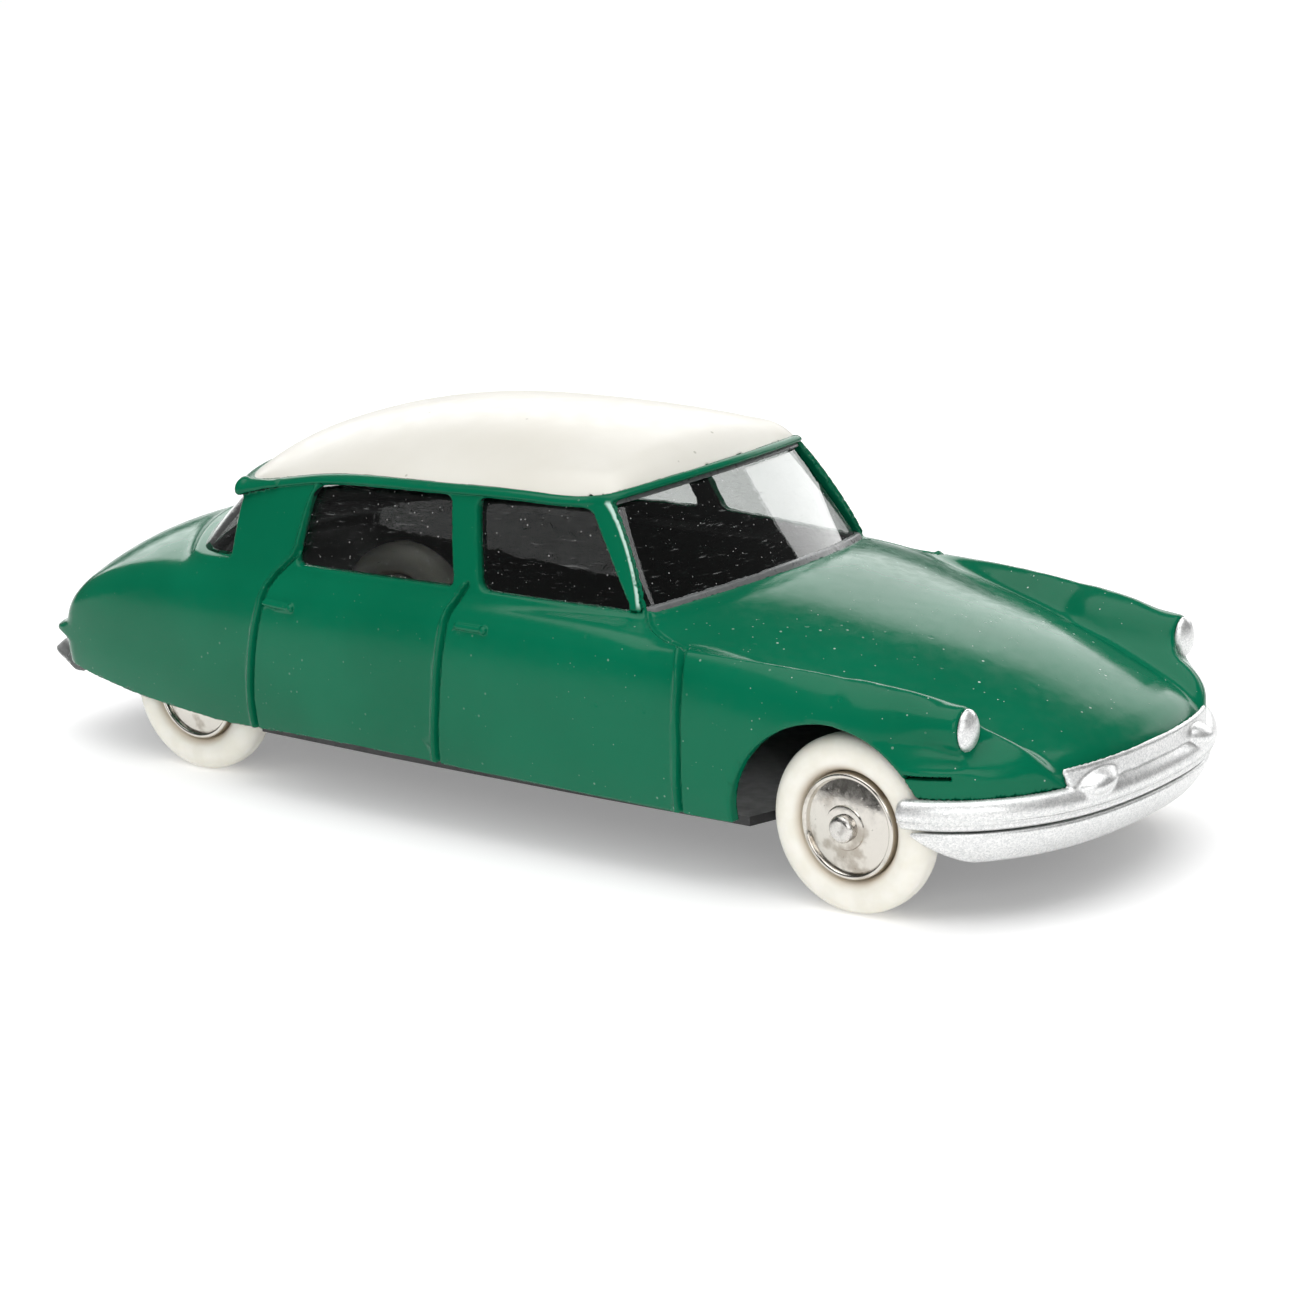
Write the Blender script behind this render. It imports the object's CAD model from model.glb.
import math

import bpy
import numpy as np
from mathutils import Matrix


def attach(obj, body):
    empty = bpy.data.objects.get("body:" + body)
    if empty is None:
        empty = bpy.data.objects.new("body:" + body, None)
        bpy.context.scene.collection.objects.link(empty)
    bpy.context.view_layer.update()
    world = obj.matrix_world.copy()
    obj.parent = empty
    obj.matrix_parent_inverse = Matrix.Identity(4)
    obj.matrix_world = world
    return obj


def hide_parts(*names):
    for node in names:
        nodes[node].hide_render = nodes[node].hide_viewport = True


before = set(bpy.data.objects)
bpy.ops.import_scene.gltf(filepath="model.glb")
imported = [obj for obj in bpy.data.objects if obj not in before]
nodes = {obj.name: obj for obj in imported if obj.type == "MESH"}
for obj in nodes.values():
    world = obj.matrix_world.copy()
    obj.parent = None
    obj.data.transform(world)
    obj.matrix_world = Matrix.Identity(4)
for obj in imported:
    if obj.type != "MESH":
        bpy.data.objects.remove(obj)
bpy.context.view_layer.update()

import openvdb
from mathutils import Matrix

# A diecast saloon at 1:43.  Shapes are worked out in millimetres in the car's own frame
# (+X nose, +Y the car's left, +Z up, ground at zero) and scaled to metres as they are meshed.
# Each painted piece is a field, negative inside the piece, that skin() turns into a mesh.

MM = 0.001

FRONT_X, REAR_X = 38.35, -34.55
TYRE_R, TYRE_W = 7.35, 3.4
TRACK_FRONT, TRACK_REAR = 35.3, 28.4
HUB_R = 4.4
WALL = 1.2                        # thickness of the casting
ROOF_SKIN, GLASS_SKIN = 1.0, 0.5
GLASS_INSET = 0.6                 # from the body's surface to the glazing's
HALF_WIDTH = 20.88                # nothing on the body stands out further than this
NOSE_X, NOSE_SKIN_X = 54.7, 54.95  # front of the plan outline, and of the painted nose
TAIL_X = -53.9
BELT_Z = 21.3                     # foot of the windscreen pillars
PILLAR_LEAN = 0.31                # how far a pillar leans in, for each unit up
BEAD_Y = 16.25                    # the pillar bead's distance from the middle at its foot
TREAD_ROUND = 1.6                 # rounding of a tyre's shoulders
LAMP_X, LAMP_Y, LAMP_Z = 48.05, 16.55, 16.1
BUMPER_Z = 9.5
PLATE_HALF = 10.6                 # half-width of the raised plate on the front bumper
WHEEL_ROOM_R, WHEEL_ROOM_Y = 7.9, 16.3  # space inside the casting for the rear tyres
AXLE_ROOM_R, AXLE_ROOM_Y = 1.7, 17.05   # and for the ends of the rear axle
ARCH_X, ARCH_Z, ARCH_R = 37.0, 6.6, 9.1


# ---------------------------------------------------------------- small mathematics

def spline(*knots):
    """Natural cubic through (x, value) knots, carried on straight past its ends."""
    x, y = np.array(sorted(knots), float).T
    h = np.diff(x)
    n = len(x)
    rows, right = np.eye(n), np.zeros(n)
    for i in range(1, n - 1):
        rows[i, i - 1:i + 2] = h[i - 1], 2 * (h[i - 1] + h[i]), h[i]
        right[i] = 6 * ((y[i + 1] - y[i]) / h[i] - (y[i] - y[i - 1]) / h[i - 1])
    m = np.linalg.solve(rows, right)
    first = (y[1] - y[0]) / h[0] - h[0] * (2 * m[0] + m[1]) / 6
    last = (y[-1] - y[-2]) / h[-1] + h[-1] * (m[-2] + 2 * m[-1]) / 6

    def value(t):
        t = np.asarray(t, np.float32)
        c = np.clip(t, x[0], x[-1])
        i = np.clip(np.searchsorted(x, c) - 1, 0, n - 2)
        u, v, d = x[i + 1] - c, c - x[i], h[i]
        s = (m[i] * u ** 3 + m[i + 1] * v ** 3) / (6 * d)
        s = s + (y[i] / d - m[i] * d / 6) * u + (y[i + 1] / d - m[i + 1] * d / 6) * v
        s = s + np.where(t < x[0], (t - x[0]) * first, 0) + np.where(t > x[-1], (t - x[-1]) * last, 0)
        return s.astype(np.float32)
    return value


def smax(a, b, k):
    """The larger of two fields, with a rounded edge k wide."""
    h = np.clip(0.5 + 0.5 * (a - b) / k, 0, 1)
    return b + (a - b) * h + k * h * (1 - h)


def smin(a, b, k):
    """The smaller of two fields, blended over a width k."""
    return -smax(-a, -b, k)


def ramp(x, a, b):
    """Smooth step from 0 at a to 1 at b."""
    t = np.clip((x - a) / (b - a), 0, 1)
    return t * t * (3 - 2 * t)


def curve_points(knots, count):
    """Points along a smooth curve through a few two-dimensional knots."""
    knots = np.array(knots, float)
    along = np.concatenate([[0], np.cumsum(np.hypot(*np.diff(knots, axis=0).T))])
    t = np.linspace(0, along[-1], count)
    return np.stack([spline(*zip(along, knots[:, k]))(t) for k in (0, 1)], 1)


def near(u, v, knots, count):
    """Distance in a flat view from (u, v) to a smooth curve."""
    points = curve_points(knots, count)
    best = np.float32(1e6)
    for (ax, ay), (bx, by) in zip(points, points[1:]):
        dx, dy = bx - ax, by - ay
        t = np.clip(((u - ax) * dx + (v - ay) * dy) / (dx * dx + dy * dy), 0, 1)
        best = np.minimum(best, (u - ax - t * dx) ** 2 + (v - ay - t * dy) ** 2)
    return np.sqrt(best)


def inside(u, v, corners, round_off):
    """Field of a convex outline with rounded corners, drawn anticlockwise."""
    field = np.float32(-1e6)
    for (ax, ay), (bx, by) in zip(corners, corners[1:] + corners[:1]):
        size = math.hypot(bx - ax, by - ay)
        field = smax(field, ((u - ax) * (by - ay) - (v - ay) * (bx - ax)) / size, round_off)
    return field


# ---------------------------------------------------------------- the body's surfaces

# Curves along the car: the first number of each knot is x.  Half-width, how far the side leans in,
# lower edge, bonnet and boot heights in the middle, and how far the top falls away to the side.
plan = spline((-62, 11.5), (-56, 13.6), (-50, 15.6), (-40, 17.5), (-30, 18.8), (-20, 19.7),
              (-10, 20.25), (0, 20.55), (10, 20.75), (20, 20.8), (30, 20.75), (38, 20.4), (44, 19.8),
              (50, 18.9), (58, 17.5))
tumble = spline((-60, 2.6), (-50, 2.6), (-40, 2.4), (-30, 2.1), (-20, 1.8), (-10, 1.6), (0, 1.5),
                (10, 1.5), (20, 1.5), (30, 2.0), (40, 2.6), (50, 3.2), (60, 4.0))
sill = spline((-60, 9.2), (-55, 8.6), (-50, 7.8), (-45, 7.1), (-40, 6.5), (-35, 6.2), (-30, 6.0),
              (-25, 6.1), (-20, 6.35), (-10, 6.55), (0, 6.5), (10, 6.4), (20, 6.3), (30, 6.3),
              (40, 7.2), (46, 8.35), (60, 8.4))
bonnet = spline((-5, 22.75), (4, 22.9), (12, 22.9), (20.8, 22.3), (30, 20.7), (38, 18.95),
                (44, 17.2), (49, 15.3), (52.5, 13.75), (54.8, 12.45), (58, 10.5))
boot = spline((-56, 7.5), (-54.3, 11.0), (-53, 13.4), (-51, 15.8), (-48, 18.1), (-44, 19.9), (-40, 20.9),
              (-36, 21.4), (-30, 22.0), (-20, 22.4), (-5, 22.7), (12, 22.8))
camber = spline((-60, 3.2), (-50, 2.9), (-40, 2.4), (-30, 2.0), (-20, 1.6), (10, 1.6), (20, 1.7),
                (30, 2.2), (38, 2.6), (44, 2.8), (50, 2.6), (60, 2.6))
# The crest of the front wing, from above and from the side.
ridge_y = spline((10, 19.9), (22.5, 19.2), (30, 18.6), (38, 17.6), (47.5, 16.4), (60, 15.2))
ridge_z = spline((10, 19.4), (22.5, 19.85), (28, 19.85), (34, 19.6), (40, 19.05), (44.3, 18.45),
                 (47.7, 17.85), (56, 16.0))
# The roof's height in the middle and its fall to the side, the cabin's half-width at the belt,
# and the line where ivory meets green.
roof_line = spline((-40, 22.8), (-36, 25.6), (-32, 28.0), (-28, 29.9), (-24, 31.3), (-18, 32.7),
                   (-11, 33.6), (-4, 33.9), (3, 33.8), (9, 33.1), (14, 31.8), (20, 29.8))
roof_camber = spline((-40, 1.2), (-34, 2.2), (-28, 3.0), (-20, 4.0), (-10, 4.3), (0, 4.0), (8, 2.7),
                     (14, 1.5), (20, 1.0))
cabin_y = spline((-44, 12.9), (-36, 15.1), (-30, 16.3), (-24, 17.0), (-16, 17.7), (-6, 18.0),
                 (4, 17.7), (12, 16.7), (17, 15.7), (22, 14.2))
gutter = spline((-40, 27.4), (-34, 27.1), (-28, 27.1), (-20, 28.4), (-13, 29.05), (-5, 29.35), (4, 29.6),
                (10.5, 29.9), (13.6, 30.75), (17, 31.6))


def flank(x, y, z):
    up = np.maximum(z - 12.5, 0) / 9.0
    down = np.maximum(10.5 - z, 0) / 4.0
    return np.abs(y) - (plan(x) - tumble(x) * up ** 2 - 0.55 * down ** 2)


def nose_sweep(a):
    """How far the nose has curved back at the half-width a."""
    return 0.009 * a ** 2 + 3.6e-5 * a ** 4


def nose_face(x, y, z):
    a = np.abs(y)
    lean = 0.05 * np.maximum(z - 12, 0) ** 2 + 0.06 * np.maximum(11 - z, 0) ** 2
    below_lamp = 0.25 * ramp(a, 12, 15.5) * np.clip(z - 12, 0, 3) ** 2
    return x - (NOSE_SKIN_X - nose_sweep(a) - lean - below_lamp)


tail_lean = spline((6, 1.0), (8.5, 0.35), (10, 0.3), (12, 0.45), (14, 1.0), (18, 4.2), (24, 9.4))


def tail_face(x, y, z):
    lip = 1.7 * np.exp(-((z - 10.8) / 0.55) ** 2)
    return (TAIL_X + 0.012 * y ** 2 + tail_lean(z) - lip) - x


def upper_face(x, y):
    """Height of the bonnet, boot and front wings."""
    a = np.abs(y)
    front_share = ramp(x, -20, 12)
    middle = bonnet(np.maximum(x, -5)) * front_share + boot(x) * (1 - front_share)
    flat = middle - camber(x) * (a / 15.5) ** 2.3
    fall = ramp(x, 20, 34)
    r = a - ridge_y(x)
    inner, outer = 0.10 + 0.75 * fall, 0.55
    slope = 0.5 * (inner + outer)
    wing = ridge_z(x) - slope * np.sqrt(r * r + 0.3 ** 2) + 0.5 * (inner - outer) * r
    fade = ramp(x, 12, 22)
    wing = wing * fade + (flat - 2.0) * (1 - fade)
    return smax(flat, wing, 0.7)


def lamp_pod(x, y, z):
    """Bullet-shaped front of the wing, which carries the lamp."""
    t = np.clip((x - 38) / 9.6, 0, 1)
    cy, cz = 17.2 - 0.65 * t, 15.6 + 0.5 * t
    ry, rz = 2.6 - 0.95 * t, 3.0 - 1.15 * t
    q = np.sqrt(((np.abs(y) - cy) / ry) ** 2 + ((z - cz) / rz) ** 2) - 1
    return smax(smax(q * np.minimum(ry, rz), x - 48.0, 0.5), 38 - x, 2)


def lower_body(x, y, z):
    """The car up to the belt, as a solid."""
    f = smax(flank(x, y, z), z - upper_face(x, y), 1.6)
    f = smax(f, nose_face(x, y, z), 2.6)
    f = smax(f, tail_face(x, y, z), 1.6)
    return smin(f, lamp_pod(x, y, z), 1.2)


def cabin_side(x, y, z):
    h = z - 21.5
    return np.abs(y) - (cabin_y(x) - 0.33 * h - 0.012 * h * h)


def roof_face(x, y, z):
    return z - (roof_line(x) - roof_camber(x) * (np.abs(y) / 14.2) ** 2.4)


def screen_face(x, y, z):
    q = (np.abs(y) / 15.6) ** 2
    return (x - (20.8 - 3.8 * q - (0.90 - 0.22 * q) * (z - 22.2 + 1.1 * q))) * 0.78


def rear_face(x, y, z):
    q = (np.abs(y) / 15.0) ** 2
    return ((-40.8 + 7.0 * q + (1.25 - 0.3 * q) * (z - 20.6)) - x) * 0.62


def cabin(x, y, z):
    """The car above the belt, as a solid."""
    f = smax(cabin_side(x, y, z), roof_face(x, y, z), 1.2)
    f = smax(f, screen_face(x, y, z), 0.9)
    f = smax(f, rear_face(x, y, z), 1.2)
    return np.maximum(f, 16 - z)


def outside(x, y, z):
    """The whole car's plain outer surface."""
    return smin(lower_body(x, y, z), cabin(x, y, z), 0.6)


def below_roof(x, y, z):
    """Positive below the line where the ivory roof meets the green body."""
    return (gutter(x) - z) * 0.97


# ---------------------------------------------------------------- openings and relief

SIDE_WINDOWS = [
    [(-19.2, 32.0), (-20.1, 21.1), (-2.0, 21.5), (-5.3, 32.0)],
    [(-2.6, 32.0), (0.7, 21.5), (15.6, 21.2), (7.6, 32.0)],
]
SEAMS = [
    # (side-view line, nearest it comes to the middle of the car)
    ([(-19.2, 27.6), (-19.7, 24.0), (-20.2, 21.8), (-21.2, 20.9), (-22.3, 19.7), (-22.9, 17.9),
      (-23.6, 14.3), (-24.1, 10.7), (-24.4, 6.0)], 13.0),
    ([(-0.6, 21.8), (-1.2, 20.6), (-1.6, 18.6), (-1.9, 15.5), (-2.2, 12.0), (-2.9, 6.2)], 13.0),
    ([(22.5, 20.0), (23.0, 18.8), (23.2, 16.0), (23.2, 11.8), (22.8, 6.0)], 18.3),
]
# rear end, front end and height of each door handle
HANDLES = [(-22.5, -19.3, 17.75), (-0.2, 2.7, 18.85)]


def side_windows(x, y, z):
    """Two openings in each side, up to the roof's edge."""
    f = np.float32(1e3)
    for corners in SIDE_WINDOWS:
        f = np.minimum(f, inside(x, z, corners, 0.9))
    f = smax(f, z - (gutter(x) - 0.85), 0.9)
    return np.maximum(f, 8 - np.abs(y))


def screen_opening(x, y, z):
    """Windscreen aperture, bounded by the pillars, the header and the cowl."""
    a = np.abs(y)
    sides = (a - (15.5 - 0.30 * (z - BELT_Z))) * 0.96
    f = smax(sides, z - (gutter(x) - 0.55), 0.7)
    f = smax(f, (22.2 - 0.0045 * a ** 2) - z, 0.7)
    return np.maximum(f, 9 - x)


def rear_opening(x, y, z):
    """The wrap-round rear window: everything behind the rear pillar, above a ledge on the boot."""
    f = smax(x + 28.2, upper_face(x, y) + 0.75 - z, 0.8)
    return smax(f, z - (gutter(x) - 0.5), 0.3)


def relief(x, y, z, f):
    """Door seams, the bonnet's shut line, the brow over each air slot and the door handles, added to f."""
    a = np.abs(y)
    for knots, innermost in SEAMS:
        on_side = ramp(a, innermost, innermost + 1)
        groove = near(x, z, knots, 20)
        ridge = near(x + 0.38, z, knots, 20)
        f = f + on_side * (0.45 * np.exp(-(groove / 0.17) ** 2) - 0.22 * np.exp(-(ridge / 0.22) ** 2))
    shut = near(x, a, [(16.6, 15.6), (17.8, 16.8), (19.4, 17.7), (21.2, 18.2), (22.6, 18.6)], 16)
    f = f + 0.22 * np.exp(-(shut / 0.2) ** 2) * ramp(z, 18.4, 18.9) * (1 - ramp(z, 22.0, 22.6))
    surface = flank(x, y, z)
    along = ramp(x, 43.6, 45.5) * (1 - ramp(x, 47.5, 50))
    brow = np.exp(-((z - 13.0) / 0.55) ** 2) * along * ramp(a, 14, 16)
    f = f - 0.3 * brow
    for x0, x1, zc in HANDLES:
        mid, half = (x0 + x1) / 2, (x1 - x0) / 2
        past_end = np.maximum(np.abs(x - mid) - half, 0)
        bar = np.sqrt(past_end ** 2 + (surface - 0.06) ** 2 + (z - zc) ** 2) - 0.27
        button = np.sqrt((x - x1) ** 2 + (surface - 0.1) ** 2 + (z - zc) ** 2) - 0.36
        f = smin(f, np.minimum(bar, button), 0.15)
    return f


def slot(x, y, z):
    """Air slot under each lamp, cut right through the side wall."""
    high = np.abs(z - 12.5) - 0.16
    long = np.abs(x - 45.9) - 1.7
    return np.maximum(np.maximum(flank(x, y, z) - 0.5, high), long)


def rail(x, y, z, f):
    """Rail under the roof's edge, ending in a small trumpet above each rear pillar."""
    skin_out = cabin(x, y, z)
    drop = z - gutter(x) + 0.30
    bead = np.sqrt((skin_out - 0.02) ** 2 + drop ** 2) - 0.36
    side = cabin_side(x, y, z)
    end = np.clip((-25.2 - x) / 3.4, 0, 1)
    horn = np.sqrt((side - 0.1 - 0.15 * end) ** 2 + (drop + 0.1 * end) ** 2) - (0.34 + 0.42 * end)
    horn = smax(horn, np.maximum(-28.4 - x, x + 24.0), 0.3)
    horn = smin(horn, np.sqrt((x + 28.2) ** 2 + (side - 0.25) ** 2 + (drop + 0.1) ** 2) - 0.72, 0.3)
    return smin(smin(f, bead, 0.15), horn, 0.2)


def pillar_bead(x, y, z, f):
    """Raised bead down the middle of each windscreen pillar."""
    off_y = np.abs(y) - (BEAD_Y - PILLAR_LEAN * (z - BELT_Z))
    face = smax(cabin_side(x, y, z), screen_face(x, y, z), 0.9)
    bead = np.sqrt(off_y ** 2 + (face - 0.02) ** 2) - 0.30
    bead = np.maximum(bead, np.maximum(z - 29.9, BELT_Z - z))
    return smin(f, np.maximum(bead, 8 - x), 0.15)


def rear_wheel_room(x, y, z):
    """Space inside the casting for the rear tyres and the ends of their axle."""
    a = np.abs(y)
    from_axle = np.hypot(x - REAR_X, z - TYRE_R)
    wheels = np.maximum(from_axle - WHEEL_ROOM_R, a - WHEEL_ROOM_Y)
    axle_ends = np.maximum(from_axle - AXLE_ROOM_R, a - AXLE_ROOM_Y)
    return np.minimum(wheels, axle_ends)


def casting(x, y, z):
    """The green body: a shell open below, cut for its windows, its front arches and the bumper."""
    f = outside(x, y, z)
    core = f + WALL
    f = pillar_bead(x, y, z, f)
    f = relief(x, y, z, f)
    f = smax(f, -slot(x, y, z), 0.12)
    f = np.maximum(f, -np.maximum(core, z - 40))
    f = smax(f, -side_windows(x, y, z), 0.25)
    f = smax(f, -screen_opening(x, y, z), 0.25)
    f = smax(f, -rear_opening(x, y, z), 0.25)
    f = smax(f, -below_roof(x, y, z), 0.1)
    f = rail(x, y, z, f)
    a = np.abs(y)
    arch = np.maximum(np.hypot(x - ARCH_X, z - ARCH_Z) - ARCH_R, 14.6 - a)
    f = smax(f, -arch, 0.3)
    bumper_top = 10.85 + 1.5 * ramp(PLATE_HALF - a, 0, 0.5)
    behind_bumper = np.maximum(np.maximum(-nose_plan(x, y, 0.02), z - bumper_top), 42 - x)
    f = smax(f, -behind_bumper, 0.05)
    f = np.maximum(f, a - HALF_WIDTH)
    f = np.maximum(f, -rear_wheel_room(x, y, z))
    return np.maximum(f, sill(x) - z)


def roof_shell(x, y, z):
    """The ivory roof, which stands a hair proud of the green."""
    f = cabin(x, y, z)
    f = np.maximum(f, -(f + ROOF_SKIN))
    return np.maximum(f - 0.03, below_roof(x, y, z) - 0.15)


def glass_shell(x, y, z):
    """One clear moulding behind every window, a little larger than the openings."""
    f = cabin(x, y, z) + GLASS_INSET
    f = np.maximum(f, -(f + GLASS_SKIN))
    openings = np.minimum(side_windows(x, y, z), screen_opening(x, y, z))
    openings = np.minimum(openings, rear_opening(x, y, z))
    return np.maximum(f, openings - 0.5)


def screen_gasket(x, y, z):
    """Grey sealing strip along the head and the foot of the windscreen."""
    face = cabin(x, y, z)
    f = np.maximum(np.abs(face + 0.42) - 0.22, screen_opening(x, y, z) - 0.15)
    f = np.maximum(f, -1.5 - screen_face(x, y, z))
    a = np.abs(y)
    foot = z - (22.6 - 0.0045 * a ** 2)
    head = gutter(x) - 1.05 - z
    return smax(f, np.minimum(foot, head), 0.1)


def nose_plan(x, y, out):
    """Outline of the nose and the sides behind it, from above, moved out by a distance."""
    a = np.abs(y)
    f = x - (NOSE_X - nose_sweep(a))
    return smax(f, a - bumper_side(x), 2.4) - out


bumper_side = spline((36, 19.5), (43, 19.4), (48, 18.9), (56, 18.0))


def tyre_space(x, y, z, room):
    """A front tyre with its rounded shoulders, made larger by room."""
    from_axle = np.hypot(x - FRONT_X, z - TYRE_R)
    from_middle = np.abs(np.abs(y) - TRACK_FRONT / 2)
    past_tread = np.maximum(from_axle - (TYRE_R - TREAD_ROUND), 0)
    past_side = np.maximum(from_middle - (TYRE_W / 2 - TREAD_ROUND), 0)
    return np.hypot(past_tread, past_side) - TREAD_ROUND - room


def front_bumper(x, y, z):
    """Ribbed half-round bar with a raised plate across its middle and an over-rider near each plate end."""
    a = np.abs(y)
    h = np.clip(np.abs(z - BUMPER_Z) / 1.35, 0, 1)
    f = nose_plan(x, y, 1.3 * np.sqrt(1 - 0.999 * h * h))
    for rib in (-0.75, -0.35):
        f = f + 0.13 * np.exp(-((z - BUMPER_Z - rib) / 0.13) ** 2)
    f = smax(f, np.abs(z - BUMPER_Z) - 1.3, 0.3)
    plate = nose_plan(x, y, 0.75 - 0.14 * np.maximum(z - 10, 0))
    plate = smax(plate, np.maximum(z - 12.35, 8.6 - z), 0.3)
    plate = smax(plate, a - PLATE_HALF - 0.35 * (z - 11), 0.3)
    rise = z - 10.75 + 0.12 * (a - 7.6)
    rider = np.sqrt(((x - 53.85) / 2.05) ** 2 + ((a - 7.6) / 2.4) ** 2 + (rise / 1.1) ** 2)
    f = smin(smin(f, plate, 0.35), (rider - 1) * 1.15, 0.25)
    f = np.maximum(f, -nose_plan(x, y, 0.12))
    f = smax(f, 43.7 - x, 0.8)
    return smax(f, -tyre_space(x, y, z, 0.2), 0.2)


def front_valance(x, y, z):
    """Smooth turned-up front of the base, set back a little from the bumper."""
    f = nose_plan(x, y, 0.75 - 0.25 * (8.1 - z) - 0.13 * (8.1 - z) ** 2)
    f = np.maximum(f, -(f + 1.2))
    f = smax(f, np.abs(z - 6.72) - 1.38, 0.35)
    f = smax(f, 44.3 + np.maximum(8.1 - z, 0) ** 1.3 - x, 0.7)
    return smax(f, -tyre_space(x, y, z, 0.3), 0.2)


def rear_bumper(x, y, z):
    """Wedge across the tail, undercut below its tip and drawn back at its ends."""
    bevel = 1.5 * np.maximum(7.7 - z, 0) + 1.25 * np.maximum(z - 7.7, 0)
    back = bevel + 0.6 * np.maximum(np.abs(y) - 11, 0) ** 1.6
    f = smax(-55.8 + back - x, np.abs(z - 7.4) - 1.55, 0.8)
    f = f + 0.22 * np.exp(-((z - 7.25) / 0.13) ** 2)
    f = smax(f, np.abs(y) - 14.7, 0.5)
    return np.maximum(f, x + 52.0 - 0.3 * (z - 6))


def lamp(side):
    """Domed oval lamp; side is 1 on the car's left and -1 on its right."""
    def field(x, y, z):
        dx, dy, dz = (x - LAMP_X) / 0.88, (y * side - LAMP_Y) / 1.38, (z - LAMP_Z) / 1.73
        q = np.sqrt(dx ** 2 + dy ** 2 + dz ** 2)
        return smax(q - 1, LAMP_X - x, 0.1)
    return field


# ---------------------------------------------------------------- meshing

def gradient(field, p, step=0.03):
    """Slope of a field at each point, from values a step to either side."""
    g = np.empty_like(p)
    for k in range(3):
        d = np.zeros(3)
        d[k] = step
        ahead, behind = p + d, p - d
        g[:, k] = field(*ahead.T) - field(*behind.T)
    return g / (2 * step)


def stations(low, high, cell, fine):
    """Grid lines from low to high, a cell apart, closer together inside each fine band (from, to)."""
    lines = [low]
    while lines[-1] < high:
        near_band = min([max(a - lines[-1], lines[-1] - b, 0) for a, b in fine] or [9.0])
        lines.append(lines[-1] + min(cell, 0.55 * cell + 0.2 * near_band))
    return np.array(lines, np.float32)


def skin(name, field, low, high, cell, adaptivity, fine):
    """Mesh of a field's zero surface, its points settled on it and its normals taken from the field."""
    axes = [stations(a, b, cell, bands) for a, b, bands in zip(low, high, fine)]
    values = np.empty([len(a) for a in axes], np.float32)
    y, z = axes[1][None, :, None], axes[2][None, None, :]
    for start in range(0, len(axes[0]), 32):
        part = slice(start, start + 32)
        values[part] = field(axes[0][part, None, None], y, z)
    grid = openvdb.FloatGrid(3.0)
    grid.copyFromArray(np.clip(values / cell, -3, 3))
    places, tris, quads = grid.convertToPolygons(0.0, adaptivity)
    places = np.asarray(places, np.float64)
    points = np.stack([np.interp(places[:, k], np.arange(len(axes[k])), axes[k]) for k in range(3)], 1)
    for _ in range(2):
        value = field(*points.T)
        g = gradient(field, points)
        size = np.maximum((g ** 2).sum(1), 0.2)
        points = points - np.clip(value / size, -0.4 * cell, 0.4 * cell)[:, None] * g
    normals = gradient(field, points, 0.05)
    normals /= np.maximum(np.linalg.norm(normals, axis=1, keepdims=True), 1e-6)
    faces = [tuple(f) for f in quads.tolist() + tris.tolist()]
    return build(name, points, faces, normals)


def build(name, points, faces, normals=None):
    """Smooth mesh from points in millimetres; the normals are used only if no point was dropped."""
    mesh = bpy.data.meshes.new(name)
    mesh.from_pydata((np.asarray(points) * MM).tolist(), [], faces)
    mesh.validate()
    mesh.polygons.foreach_set("use_smooth", [True] * len(mesh.polygons))
    if normals is not None and len(mesh.vertices) == len(normals):
        mesh.normals_split_custom_set_from_vertices(normals.tolist())
    mesh.update()
    obj = bpy.data.objects.new(name, mesh)
    bpy.context.scene.collection.objects.link(obj)
    return obj


def turned(name, profile, x, y, side):
    """Ring turned about an axle from a closed profile of (radius, distance outboard of y)."""
    segments = 120
    r, out = np.array(profile, float).T
    angle = np.linspace(0, 2 * np.pi, segments, endpoint=False)[:, None]
    px, pz = x + r * np.cos(angle), TYRE_R + r * np.sin(angle)
    py = np.broadcast_to(side * (y + out), px.shape)
    n = len(profile)
    faces = []
    for i in range(segments):
        for k in range(n):
            a, b = i * n, (i + 1) % segments * n
            quad = (a + k, a + (k + 1) % n, b + (k + 1) % n, b + k)
            faces.append(quad if side > 0 else quad[::-1])
    obj = build(name, np.stack([px, py, pz], -1).reshape(-1, 3), faces)
    obj.data.set_sharp_from_angle(angle=math.radians(35))
    return obj


# ---------------------------------------------------------------- materials

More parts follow.
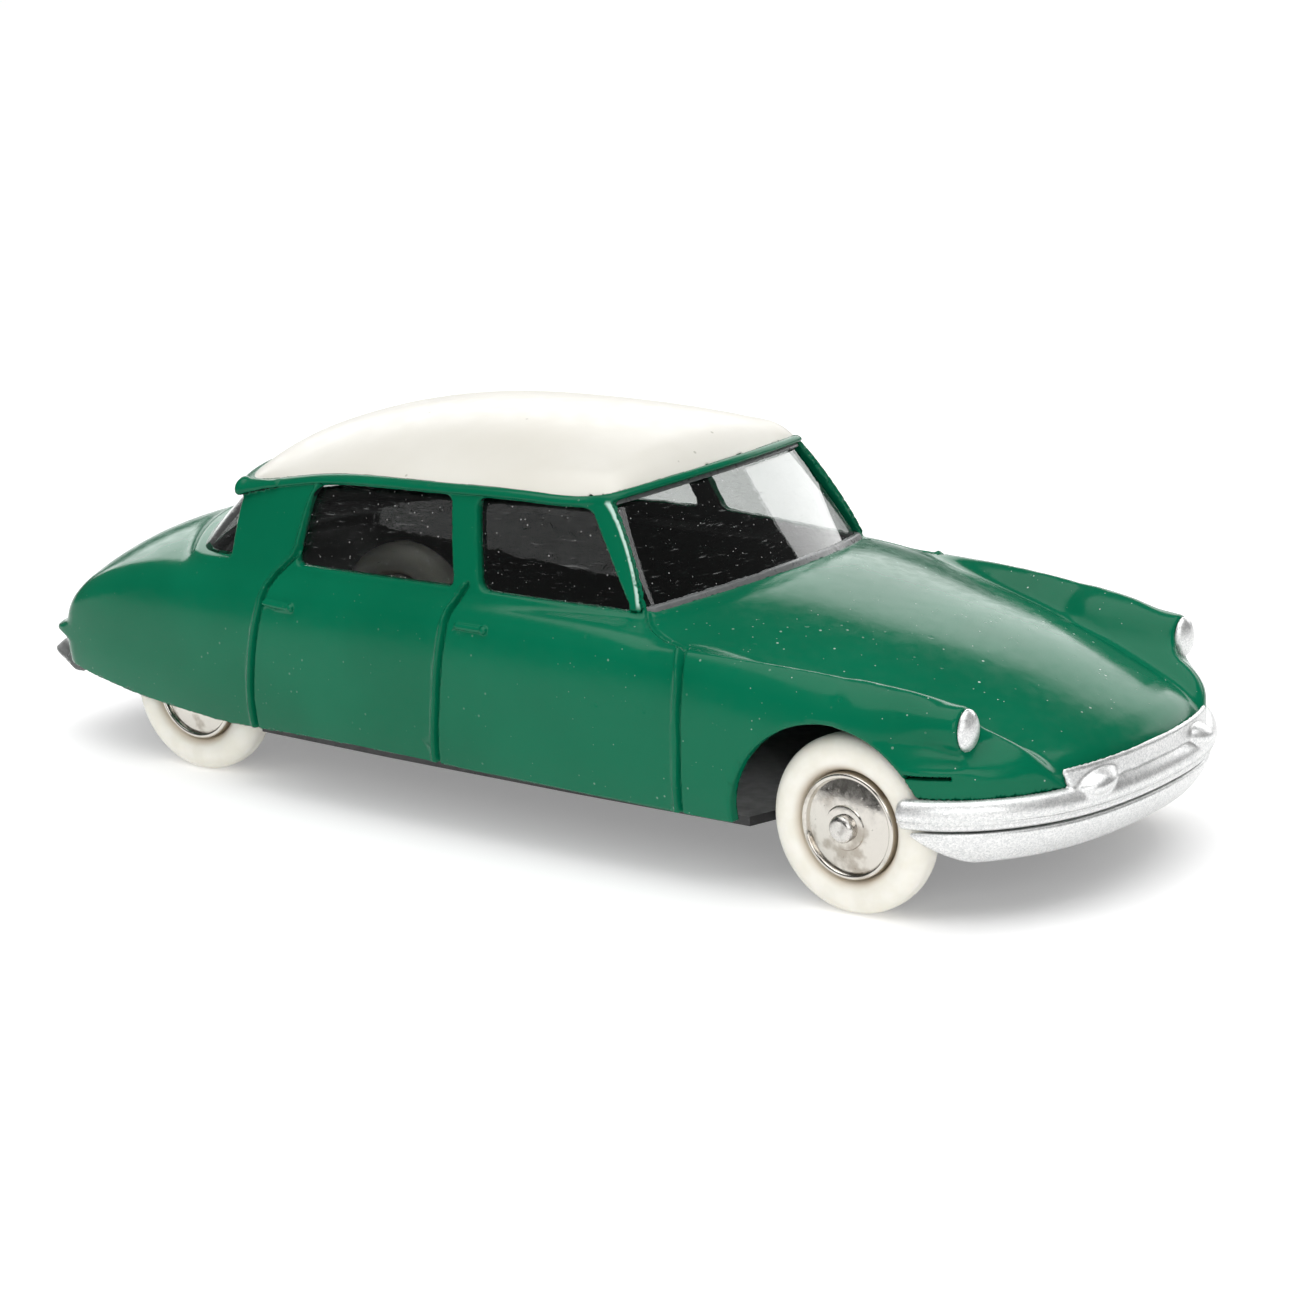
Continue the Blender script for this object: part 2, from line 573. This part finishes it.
class Finish:
    """A node material laid out in millimetres over the piece it is on."""

    def __init__(self, name, **values):
        self.material = bpy.data.materials.new(name)
        self.material.use_nodes = True
        self.tree = self.material.node_tree
        self.shader = self.tree.nodes["Principled BSDF"]
        for key, value in values.items():
            self.shader.inputs[key.replace("_", " ")].default_value = value
        place = self.tree.nodes.new("ShaderNodeTexCoord")
        scale = self.node("ShaderNodeMapping", Vector=place.outputs["Object"])
        scale.inputs["Scale"].default_value = (1000, 1000, 1000)
        self.place = scale.outputs["Vector"]

    def node(self, kind, **links):
        made = self.tree.nodes.new(kind)
        for key, value in links.items():
            self.put(made.inputs[key], value)
        return made

    def put(self, socket, value):
        if hasattr(value, "is_output"):
            self.tree.links.new(value, socket)
        else:
            socket.default_value = value

    def noise(self, scale, detail=3.0, stretch=(1, 1, 1)):
        place = self.place
        if stretch != (1, 1, 1):
            place = self.node("ShaderNodeMapping", Vector=place, Scale=stretch).outputs["Vector"]
        return self.node("ShaderNodeTexNoise", Vector=place, Scale=scale, Detail=detail).outputs["Fac"]

    def cells(self, scale, output="Distance"):
        return self.node("ShaderNodeTexVoronoi", Vector=self.place, Scale=scale).outputs[output]

    def calc(self, what, a, b=0.0, c=0.0):
        made = self.tree.nodes.new("ShaderNodeMath")
        made.operation = what
        for socket, value in zip(made.inputs, (a, b, c)):
            self.put(socket, value)
        return made.outputs[0]

    def vector(self, what, a, b=(0.0, 0.0, 0.0)):
        made = self.tree.nodes.new("ShaderNodeVectorMath")
        made.operation = what
        self.put(made.inputs[0], a)
        self.put(made.inputs[1], b)
        return made

    def between(self, value, low, high, to_low=0.0, to_high=1.0):
        made = self.node("ShaderNodeMapRange", Value=value)
        made.interpolation_type = "SMOOTHSTEP"
        ends = {"From Min": low, "From Max": high, "To Min": to_low, "To Max": to_high}
        for key, number in ends.items():
            made.inputs[key].default_value = number
        return made.outputs["Result"]

    def blend(self, share, a, b):
        made = self.tree.nodes.new("ShaderNodeMix")
        made.data_type = "RGBA"
        self.put(made.inputs["Factor"], share)
        self.put(made.inputs[6], a)
        self.put(made.inputs[7], b)
        return made.outputs[2]

    def axis(self, name):
        return self.node("ShaderNodeSeparateXYZ", Vector=self.place).outputs[name]

    def bump(self, height, depth, under=None):
        """Relief: depth is in millimetres for a height of one."""
        made = self.node("ShaderNodeBump", Height=height, Distance=depth * MM, Strength=1.0)
        if under is not None:
            self.put(made.inputs["Normal"], under)
        return made.outputs["Normal"]

    def set(self, key, value):
        self.put(self.shader.inputs[key], value)


def paint_specks(f, size, share):
    """Mask of small round specks, a share of the cells carrying one."""
    distance = f.cells(size)
    chosen = f.node("ShaderNodeSeparateColor", Color=f.cells(size, output="Color")).outputs["Red"]
    dot = f.between(distance, 0.10, 0.16, 1.0, 0.0)
    return f.calc("MULTIPLY", dot, f.calc("GREATER_THAN", chosen, 1.0 - share))


def unpainted_inside(f):
    """Mask of the faces that look in towards the car's middle and not up; the pillars stay painted."""
    normal = f.node("ShaderNodeTexCoord").outputs["Normal"]
    out = f.vector("SUBTRACT", f.place, (0.0, 0.0, 12.0))
    flat = f.vector("MULTIPLY", out.outputs[0], (0.25, 1.0, 1.0))
    aim = f.vector("NORMALIZE", flat.outputs[0])
    dot = f.vector("DOT_PRODUCT", aim.outputs[0], normal)
    inward = f.between(dot.outputs["Value"], -0.35, -0.2, 1.0, 0.0)
    level = f.node("ShaderNodeSeparateXYZ", Vector=normal).outputs["Z"]
    inward = f.calc("MULTIPLY", inward, f.between(level, 0.02, 0.12, 1.0, 0.0))
    pillar = f.calc("MULTIPLY", f.between(f.axis("X"), 8.0, 9.0), f.between(f.axis("Z"), 21.4, 21.8))
    return f.calc("MULTIPLY", inward, f.calc("SUBTRACT", 1.0, pillar))


def inside_arch(f):
    """Mask of what shows through a front wheel arch."""
    dx = f.calc("SUBTRACT", f.axis("X"), ARCH_X)
    dz = f.calc("SUBTRACT", f.axis("Z"), ARCH_Z)
    radius = f.calc("SQRT", f.calc("ADD", f.calc("MULTIPLY", dx, dx), f.calc("MULTIPLY", dz, dz)))
    deep = f.between(f.calc("ABSOLUTE", f.axis("Y")), 18.7, 19.3, 1.0, 0.0)
    return f.calc("MULTIPLY", f.between(radius, ARCH_R + 0.2, ARCH_R + 0.5, 1.0, 0.0), deep)


def worn_pillar_bead(f):
    """Mask of the crest of the bead on each windscreen pillar, where the paint has rubbed bright."""
    height = f.axis("Z")
    line = f.calc("MULTIPLY_ADD", f.calc("SUBTRACT", height, BELT_Z), -PILLAR_LEAN, BEAD_Y)
    off = f.calc("ABSOLUTE", f.calc("SUBTRACT", f.calc("ABSOLUTE", f.axis("Y")), line))
    mask = f.calc("MULTIPLY", f.between(off, 0.03, 0.09, 1.0, 0.0), f.between(f.axis("X"), 8.5, 9.0))
    mask = f.calc("MULTIPLY", mask, f.between(height, 21.4, 22.0))
    mask = f.calc("MULTIPLY", mask, f.between(height, 29.3, 29.7, 1.0, 0.0))
    return f.calc("MULTIPLY", mask, f.between(f.noise(1.5, 4.0), 0.25, 0.45))


def green_enamel():
    f = Finish("green_enamel", Specular_IOR_Level=0.16)
    broad = f.noise(0.05)
    color = f.blend(f.between(broad, 0.35, 0.65), (0.0006, 0.118, 0.056, 1), (0.0010, 0.138, 0.067, 1))
    hidden = f.calc("MAXIMUM", unpainted_inside(f), inside_arch(f))
    color = f.blend(hidden, color, (0.006, 0.014, 0.012, 1))
    color = f.blend(worn_pillar_bead(f), color, (0.45, 0.62, 0.55, 1))
    front = f.between(f.axis("X"), 5.0, 50.0, 0.12, 1.0)
    dust = f.calc("MULTIPLY", paint_specks(f, 1.25, 0.16), f.between(f.noise(0.11), 0.42, 0.6))
    dust = f.calc("MULTIPLY", dust, front)
    fine = f.calc("MULTIPLY", paint_specks(f, 2.4, 0.09), f.between(f.noise(0.2), 0.35, 0.6))
    fine = f.calc("MULTIPLY", fine, front)
    dust = f.calc("MAXIMUM", dust, fine)
    f.set("Base Color", f.blend(dust, color, (0.62, 0.72, 0.66, 1)))
    sheen = f.between(f.noise(0.9), 0.3, 0.7, 0.14, 0.22)
    f.set("Roughness", f.calc("ADD", sheen, f.calc("MULTIPLY", dust, 0.4)))
    peel = f.bump(f.noise(0.55, 2.0), 0.010)
    pits = f.bump(paint_specks(f, 0.6, 0.12), -0.012, peel)
    f.set("Normal", f.bump(dust, 0.02, pits))
    return f.material


def ivory_enamel():
    f = Finish("ivory_enamel", IOR=1.5)
    cloud = f.between(f.noise(0.08), 0.3, 0.7)
    color = f.blend(cloud, (0.65, 0.63, 0.565, 1), (0.69, 0.675, 0.62, 1))
    grey = paint_specks(f, 0.9, 0.05)
    color = f.blend(grey, color, (0.45, 0.44, 0.38, 1))
    normal = f.node("ShaderNodeTexCoord").outputs["Normal"]
    facing_up = f.between(f.node("ShaderNodeSeparateXYZ", Vector=normal).outputs["Z"], -0.1, 0.0)
    f.set("Base Color", f.blend(facing_up, (0.05, 0.05, 0.048, 1), color))
    f.set("Roughness", f.between(f.noise(0.6), 0.3, 0.7, 0.30, 0.42))
    peel = f.bump(f.noise(0.45, 2.0), 0.012)
    f.set("Normal", f.bump(f.noise(5.0, 2.0), 0.0015, peel))
    return f.material


def silver_paint(name, dull):
    """Silver paint with coarse flake; dull is the share of grime over it."""
    f = Finish(name, Metallic=0.72, IOR=1.5)
    flake = f.node("ShaderNodeSeparateColor", Color=f.cells(9.0, output="Color")).outputs["Red"]
    color = f.blend(flake, (0.62, 0.63, 0.63, 1), (0.88, 0.88, 0.87, 1))
    color = f.blend(dull, color, (0.16, 0.17, 0.17, 1))
    worn = f.between(f.noise(1.1, 5.0), 0.62, 0.70)
    color = f.blend(f.calc("MULTIPLY", worn, 0.2), color, (0.40, 0.41, 0.41, 1))
    f.set("Base Color", color)
    f.set("Roughness", f.between(f.noise(2.0), 0.3, 0.7, 0.30, 0.44))
    coarse = f.bump(f.noise(0.5, 1.0), 0.008)
    f.set("Normal", f.bump(flake, 0.0015, coarse))
    return f.material


def black_enamel():
    f = Finish("black_enamel", IOR=1.5)
    dust = f.between(f.noise(1.3, 5.0), 0.6, 0.75)
    dusty = f.calc("MULTIPLY", dust, 0.3)
    f.set("Base Color", f.blend(dusty, (0.012, 0.012, 0.013, 1), (0.10, 0.10, 0.095, 1)))
    f.set("Roughness", f.between(f.noise(0.7), 0.3, 0.7, 0.28, 0.45))
    f.set("Normal", f.bump(f.noise(0.9), 0.02))
    return f.material


def nickel_plate():
    f = Finish("nickel_plate", Metallic=1.0)
    grain = f.noise(3.2, 4.0)
    tarnish = f.between(f.noise(0.45, 4.0), 0.52, 0.68)
    f.set("Base Color", f.blend(tarnish, (0.66, 0.63, 0.58, 1), (0.42, 0.38, 0.33, 1)))
    f.set("Roughness", f.between(f.noise(1.6), 0.3, 0.7, 0.11, 0.26))
    fine = f.bump(grain, 0.005)
    f.set("Normal", f.bump(paint_specks(f, 2.2, 0.3), -0.015, fine))
    return f.material


def plain_steel():
    f = Finish("plain_steel", Metallic=1.0)
    dull = f.between(f.noise(1.2), 0.4, 0.7)
    f.set("Base Color", f.blend(dull, (0.66, 0.64, 0.61, 1), (0.40, 0.38, 0.36, 1)))
    f.set("Roughness", f.between(f.noise(3.0), 0.3, 0.7, 0.20, 0.36))
    f.set("Normal", f.bump(f.noise(4.0), 0.006))
    return f.material


def tyre_vinyl(x):
    """Creamy white tyre, browner where it grips the hub."""
    f = Finish("tyre_vinyl", IOR=1.5, Subsurface_Weight=0.12, Subsurface_Scale=0.0008)
    f.shader.inputs["Subsurface Radius"].default_value = (1.0, 0.8, 0.5)
    dx = f.calc("SUBTRACT", f.axis("X"), x)
    dz = f.calc("SUBTRACT", f.axis("Z"), TYRE_R)
    radius = f.calc("SQRT", f.calc("ADD", f.calc("MULTIPLY", dx, dx), f.calc("MULTIPLY", dz, dz)))
    clean = f.blend(f.between(f.noise(0.5), 0.3, 0.7), (0.80, 0.775, 0.69, 1), (0.86, 0.84, 0.77, 1))
    stain = f.between(radius, HUB_R + 0.1, HUB_R + 0.9, 0.75, 0.0)
    f.set("Base Color", f.blend(stain, clean, (0.50, 0.40, 0.28, 1)))
    f.set("Roughness", f.between(f.noise(1.2), 0.3, 0.7, 0.42, 0.58))
    f.set("Normal", f.bump(f.noise(1.5, 3.0), 0.012))
    return f.material


def clear_plastic():
    """Slightly smoky moulding with a few scratches and specks of dust."""
    f = Finish("clear_plastic", IOR=1.46, Transmission_Weight=1.0)
    f.set("Base Color", f.blend(f.noise(0.15), (0.62, 0.64, 0.63, 1), (0.70, 0.71, 0.70, 1)))
    scratch = f.between(f.noise(2.2, 4.0, (0.25, 0.25, 3.0)), 0.64, 0.72)
    dust = f.calc("MAXIMUM", paint_specks(f, 2.6, 0.12), f.calc("MULTIPLY", scratch, 0.3))
    f.set("Transmission Weight", f.calc("SUBTRACT", 1.0, f.calc("MULTIPLY", dust, 0.5)))
    f.set("Roughness", f.between(dust, 0.0, 1.0, 0.015, 0.4))
    f.set("Normal", f.bump(f.noise(0.35, 2.0), 0.008))
    return f.material


def gasket_grey():
    f = Finish("gasket_grey", IOR=1.5)
    f.set("Base Color", f.blend(f.noise(1.5), (0.075, 0.08, 0.08, 1), (0.14, 0.145, 0.145, 1)))
    f.set("Roughness", f.between(f.noise(2.0), 0.3, 0.7, 0.25, 0.4))
    f.set("Normal", f.bump(f.noise(1.1), 0.01))
    return f.material


def studio_floor():
    """Pale sheet that glows a little round the car, so that its shadow stays light."""
    f = Finish("studio_floor", IOR=1.45)
    f.set("Emission Color", (1, 1, 1, 1))
    away = f.vector("LENGTH", f.place)
    f.set("Emission Strength", f.between(away.outputs["Value"], 120, 420, 0.24, 0.0))
    f.set("Base Color", f.blend(f.noise(0.02), (0.86, 0.86, 0.86, 1), (0.88, 0.88, 0.88, 1)))
    f.set("Roughness", 0.75)
    return f.material


def coat(obj, material):
    obj.data.materials.clear()
    obj.data.materials.append(material)


# ---------------------------------------------------------------- pieces

# A coat is a material and the name of its slot; the CAD's own pieces and the hubs take a plain material.
GREEN = green_enamel(), "green_paint"
IVORY = ivory_enamel(), "ivory_paint"
BLACK = black_enamel()
SILVER = silver_paint("silver_paint", 0.0), "silver_paint"
GRIMY = silver_paint("grimy_silver", 0.75), "silver_paint"
NICKEL = nickel_plate()
STEEL = plain_steel()
CLEAR = clear_plastic(), "clear_plastic"
GASKET = gasket_grey(), "clear_plastic"

CELL = 0.24
TRIM_CELL, LAMP_CELL, GASKET_CELL = CELL / 1.4, CELL / 2, CELL / 1.3
EVEN = ((), (), ())
# Closer grid lines along the car at its door seams, and in height at the air slots and the roof's edge.
FINE = (((-24.6, -19.4), (-2.8, -0.6), (22.0, 23.6)), (), ((11.9, 13.2), (26.8, 29.9)))
PIECES = [
    # name, CAD node it stands for, field, coat,
    #     low corner, high corner, cell, adaptivity, closer bands
    ("body_shell", "body_casting", casting, GREEN,
     (-54.5, -21.2, 5.8), (55.4, 21.2, 31.2), CELL, 0.01, FINE),
    ("roof_skin", "roof_panel", roof_shell, IVORY,
     (-38.0, -16.0, 24.0), (16.0, 16.0, 34.3), CELL, 0.1, EVEN),
    ("glass_moulding", "glazing", glass_shell, CLEAR,
     (-38.5, -18.5, 20.5), (21.0, 18.5, 33.8), CELL, 0.1, EVEN),
    ("windscreen_gasket", "glazing", screen_gasket, GASKET,
     (8.5, -16.5, 20.5), (22.5, 16.5, 31.0), GASKET_CELL, 0.02, EVEN),
    ("bumper_front", "front_bumper", front_bumper, SILVER,
     (41.2, -20.95, 7.8), (56.2, 20.95, 12.8), TRIM_CELL, 0.0, EVEN),
    ("valance_front", "front_valance", front_valance, SILVER,
     (42.2, -20.6, 5.0), (56.0, 20.6, 8.6), TRIM_CELL, 0.0, EVEN),
    ("bumper_rear", "rear_bumper", rear_bumper, GRIMY,
     (-56.2, -15.8, 5.4), (-46.6, 15.8, 9.4), TRIM_CELL, 0.0, EVEN),
    ("lamp_left", "headlamp_left", lamp(1), SILVER,
     (47.7, 14.8, 14.0), (49.3, 18.3, 18.2), LAMP_CELL, 0.0, EVEN),
    ("lamp_right", "headlamp_right", lamp(-1), SILVER,
     (47.7, -18.3, 14.0), (49.3, -14.8, 18.2), LAMP_CELL, 0.0, EVEN),
]

for name, node, field, (material, slot_name), low, high, cell, adaptivity, fine in PIECES:
    piece = skin(name, field, low, high, cell, adaptivity, fine)
    coat(piece, material)
    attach(piece, "car")
    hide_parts(node)

# Section of a hub: (radius, distance outboard of the tyre's middle).
HUB = [(0.95, -1.1), (HUB_R, -1.1), (HUB_R, 1.24), (4.36, 1.38), (4.27, 1.46), (4.15, 1.49),
       (4.03, 1.45), (3.95, 1.36), (3.90, 1.20), (3.6, 1.30), (3.2, 1.42), (2.8, 1.52), (2.4, 1.60),
       (2.0, 1.66), (1.86, 1.68), (1.80, 1.78), (1.70, 1.82), (0.95, 1.82)]
TRACK = {"front": TRACK_FRONT, "rear": TRACK_REAR}
SIDES = {"left": 1, "right": -1}
coat(nodes["baseplate"], BLACK)
coat(nodes["base_rivets"], STEEL)
for end, x in (("front", FRONT_X), ("rear", REAR_X)):
    vinyl = tyre_vinyl(x)
    coat(nodes[end + "_axle"], STEEL)
    for side, sign in SIDES.items():
        hub = turned(f"hub_disc_{end}_{side}", HUB, x, TRACK[end] / 2, sign)
        coat(hub, NICKEL)
        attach(hub, end + "_wheels")
        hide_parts(f"hub_{end}_{side}")
        coat(nodes[f"tyre_{end}_{side}"], vinyl)


# ---------------------------------------------------------------- studio

def floor():
    half = 3.0
    corners = [(-half, -half, 0), (half, -half, 0), (half, half, 0), (-half, half, 0)]
    mesh = bpy.data.meshes.new("studio_sheet")
    mesh.from_pydata(corners, [], [(0, 1, 2, 3)])
    sheet = bpy.data.objects.new("studio_sheet", mesh)
    bpy.context.scene.collection.objects.link(sheet)
    coat(sheet, studio_floor())


def softbox(name, place, target, size, power, mirrored=True):
    """Area light at place (metres), facing target; mirrored is whether glossy surfaces reflect it."""
    data = bpy.data.lights.new(name, "AREA")
    data.shape = "RECTANGLE"
    data.size, data.size_y = size
    data.energy = power
    obj = bpy.data.objects.new(name, data)
    aim = np.array(target, float) - np.array(place, float)
    back = -aim / np.linalg.norm(aim)
    right = np.cross((0, 0, 1), back)
    right = right / np.linalg.norm(right)
    up = np.cross(back, right)
    turn = Matrix([list(row) for row in np.stack([right, up, back], 1)]).to_4x4()
    turn.translation = place
    obj.matrix_world = turn
    obj.visible_glossy = mirrored
    bpy.context.scene.collection.objects.link(obj)


def lighting():
    world = bpy.data.worlds.new("studio")
    world.use_nodes = True
    world.node_tree.nodes["Background"].inputs["Color"].default_value = (1, 1, 1, 1)
    world.node_tree.nodes["Background"].inputs["Strength"].default_value = 0.10
    bpy.context.scene.world = world
    softbox("overhead", (0.05, -0.10, 0.95), (0, 0, 0.01), (1.4, 1.2), 11.5)
    softbox("back_wall", (-0.45, 1.10, 0.52), (0, 0, 0.25), (2.4, 0.60), 12.0)
    softbox("side_fill", (-0.35, -0.95, 0.75), (0, 0, 0.01), (1.2, 0.6), 3.0, mirrored=False)
    softbox("front_fill", (0.85, -0.95, 0.50), (0, 0, 0.01), (1.2, 0.6), 6.0)


def tone():
    """Plain display curve: the sheet runs out to white, as in a bright studio picture."""
    bpy.context.scene.view_settings.view_transform = "Standard"


def camera():
    """The photographer's place: about 37 degrees round from the side, 15 up, 0.38 m away."""
    turn, rise, roll = math.radians(37.372), math.radians(14.772), math.radians(-1.731)
    away, shift_x, shift_y = 0.381491, 0.003478, -0.002243
    back = np.array((math.sin(turn) * math.cos(rise), -math.cos(turn) * math.cos(rise), math.sin(rise)))
    level = np.array((math.cos(turn), math.sin(turn), 0.0))
    up = np.cross(back, level)
    c, s = math.cos(roll), math.sin(roll)
    right, top = c * level + s * up, c * up - s * level
    place = back * away + right * shift_x + top * shift_y + np.array((0, 0, 0.015))
    data = bpy.data.cameras.new("camera")
    data.lens, data.sensor_width = 122.353, 36.0
    data.clip_start = 0.01
    obj = bpy.data.objects.new("camera", data)
    matrix = Matrix([list(row) for row in np.stack([right, top, back], 1)]).to_4x4()
    matrix.translation = place.tolist()
    obj.matrix_world = matrix
    bpy.context.scene.collection.objects.link(obj)
    bpy.context.scene.camera = obj


floor()
lighting()
tone()
camera()
bpy.context.view_layer.update()
